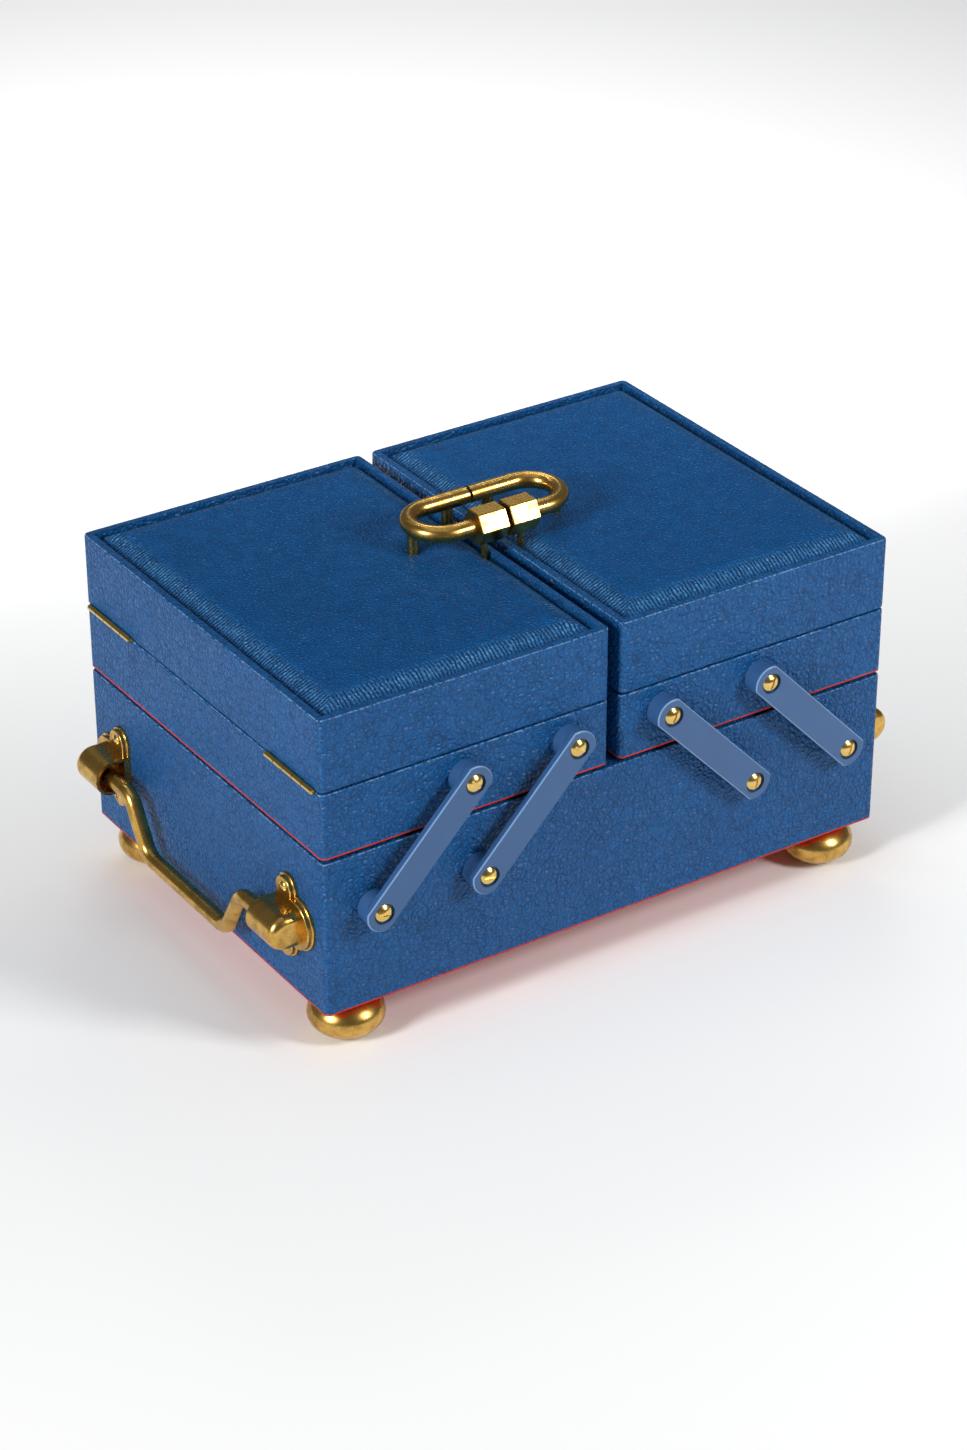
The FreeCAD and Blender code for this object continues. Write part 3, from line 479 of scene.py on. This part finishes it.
def dressPad(pad, low, high, posts, seed):
    smoother = pad.modifiers.new("round", "SUBSURF")
    smoother.levels = 1
    smoother.render_levels = 1
    dense = bpy.data.meshes.new_from_object(pad.evaluated_get(bpy.context.evaluated_depsgraph_get()))
    pad.modifiers.clear()
    pad.data = dense
    halfX = (high.x - low.x) / 2
    halfY = (high.y - low.y) / 2
    centre = (low + high) / 2
    for vertex in dense.vertices:
        x, y, z = vertex.co
        if z < low.z + 1.0 * mm:
            continue
        sideX = halfX - abs(x - centre.x)
        sideY = halfY - abs(y - centre.y)
        inwards = max(min(sideX, sideY), 0)
        fade = max(0.0, 1 - inwards / padShape["puckerReach"]) * min(1.0, inwards / (1.5 * mm))
        along, across = (x, sideY) if sideY < sideX else (y, sideX)
        ripple = noise.noise(Vector((along / padShape["puckerWidth"],
                                     across / padShape["puckerLength"], seed)))
        broad = noise.noise(Vector((x / padShape["sagLength"], y / padShape["sagLength"], seed + 7)))
        vertex.co.z += padShape["pucker"] * fade * ripple + padShape["sag"] * broad
        for place in posts:
            away = math.hypot(x - place.x, y - place.y)
            vertex.co.z -= padShape["dimple"] * math.exp(-(away / padShape["dimpleReach"]) ** 2)
    for face in dense.polygons:
        face.use_smooth = True
    foldX = dense.attributes.new("foldX", "FLOAT", "POINT")
    foldY = dense.attributes.new("foldY", "FLOAT", "POINT")
    # the stretch attribute places the painted highlight band along the roll
    stretch = dense.attributes.new("stretch", "FLOAT", "POINT")
    blend = padShape["foldBlend"]
    bandHighlightCentre = padShape["bandHighlightPlace"] * padShape["roll"]
    for vertex in dense.vertices:
        sideX = halfX - abs(vertex.co.x - centre.x)
        sideY = halfY - abs(vertex.co.y - centre.y)
        nearest = min(sideX, sideY)
        band = min(max((padShape["roll"] + blend / 2 - nearest) / blend, 0), 1)
        share = min(max((sideX - sideY) / blend + 0.5, 0), 1)
        foldX.data[vertex.index].value = band * share
        foldY.data[vertex.index].value = band * (1 - share)
        stretch.data[vertex.index].value = math.exp(-((nearest - bandHighlightCentre) / padShape["bandHighlightWidth"]) ** 2)


# where the three posts of each clasp half go through the leather
postPlaces = {}
for side in ("left", "right"):
    spots = []
    data = nodes[side + "_clasp_posts"].data
    points = np.array([nodes[side + "_clasp_posts"].matrix_world @ v.co for v in data.vertices])
    y = points[:, 1]
    for chosen in (y > 8 * mm, np.abs(y) < 5 * mm, y < -8 * mm):
        group = points[chosen]
        spots.append(Vector((group.min(0) + group.max(0)) / 2))
    postPlaces[side] = spots

simulated = None  # the pads are alike, so the cloth runs once
for side, seed in (("left", 3.0), ("right", 11.0)):
    low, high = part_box(side + "_lid_pad")
    pad = cutPad(side + "_padded_leather_panel", low, high)
    if simulated is None:
        simulated = inflate(pad, low)
    start = np.array([v.co for v in pad.data.vertices])
    settled = capMoves(start, simulated)
    for vertex, spot in zip(pad.data.vertices, settled):
        vertex.co = spot
        vertex.co.z = max(vertex.co.z, low.z)
    dressPad(pad, low, high, postPlaces[side], seed)
    pad.data.materials.clear()
    pad.data.materials.append(padLeather)
    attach(pad, side + "_lid")
    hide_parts(side + "_lid_pad")
print("pads made")


floorLook = {"size": 8.0, "colour": "#F7F7F6"}


# Matt studio paper: an uncoated sheet. It gives the eye an even pale ground with the faintest tooth.
def mattPaper(name, look):
    material, tree, place = newMaterial(name)
    tooth = addNode(tree, "ShaderNodeTexNoise", {"Scale": 1 / (3 * mm), "Detail": 2.0},
                    {"Vector": place.outputs["Object"]})
    bump = addNode(tree, "ShaderNodeBump", {"Strength": 0.05, "Distance": 0.05 * mm}, {"Height": tooth})
    finishMaterial(tree, {"Base Color": linearColour(look["colour"]), "Roughness": 0.9,
                          "Specular IOR Level": 0.1}, {"Normal": bump})
    return material


half = floorLook["size"] / 2
floorData = bpy.data.meshes.new("paper floor")
corners = [(-half, -half, 0), (half, -half, 0), (half, half, 0), (-half, half, 0)]
floorData.from_pydata(corners, [], [(0, 1, 2, 3)])
floor = bpy.data.objects.new("paper floor", floorData)
floor.data.materials.append(mattPaper("matt white paper", floorLook))
bpy.context.scene.collection.objects.link(floor)

# softboxes: where each stands, what it points at, its size in metres and its power in watts
softboxes = {
    "left key": {"place": (-1.75, -0.35, 0.95), "aim": (0, 0, 0.08), "size": (0.4, 0.6), "power": 30},
    "front fill": {"place": (0.5, -0.95, 0.72), "aim": (0, 0, 0.1), "size": (0.3, 0.4), "power": 8.8},
    "back top": {"place": (0.85, 1.35, 1.5), "aim": (0, 0, 0.12), "size": (0.5, 0.25), "power": 2},
    "far floor": {"place": (0.1, 0.45, 0.9), "aim": (0.9, 1.5, 0), "size": (0.8, 0.5), "power": 11},
    "overhead": {"place": (-0.1, -0.1, 3.2), "aim": (0, 0, 0.1), "size": (2.6, 2.6), "power": 10},
}
for name, box in softboxes.items():
    lamp = bpy.data.lights.new(name, "AREA")
    lamp.shape = "RECTANGLE"
    lamp.size, lamp.size_y = box["size"]
    lamp.energy = box["power"]
    holder = bpy.data.objects.new(name, lamp)
    holder.location = box["place"]
    holder.rotation_euler = (Vector(box["aim"]) - Vector(box["place"])).to_track_quat("-Z", "Y").to_euler()
    bpy.context.scene.collection.objects.link(holder)

roomLook = {"colour": "#E9EDF2", "strength": 0.15}
room = bpy.data.worlds.new("soft room")
room.use_nodes = True
room.node_tree.nodes["Background"].inputs[0].default_value = linearColour(roomLook["colour"])
room.node_tree.nodes["Background"].inputs[1].default_value = roomLook["strength"]
bpy.context.scene.world = room

# The camera looks down 30 degrees, from the front and 33 degrees round to the left.
cameraLook = {
    "place": (-0.80944, -1.22798, 0.92058), "azimuth": 33.363, "down": 30.005, "roll": -0.13, "lens": 90.8,
}
cameraData = bpy.data.cameras.new("camera")
cameraData.lens = cameraLook["lens"]
cameraData.sensor_width = 36.0
cameraData.clip_end = 50.0
camera = bpy.data.objects.new("camera", cameraData)
turn, down = math.radians(cameraLook["azimuth"]), math.radians(cameraLook["down"])
forward = Vector((math.sin(turn) * math.cos(down), math.cos(turn) * math.cos(down), -math.sin(down)))
camera.location = cameraLook["place"]
aim = forward.to_track_quat("-Z", "Y").to_matrix() @ Matrix.Rotation(math.radians(cameraLook["roll"]), 3, "Z")
camera.rotation_euler = aim.to_euler()
bpy.context.scene.collection.objects.link(camera)
bpy.context.scene.camera = camera
bpy.context.scene.view_settings.view_transform = "Standard"
print("floor, lights and camera set")
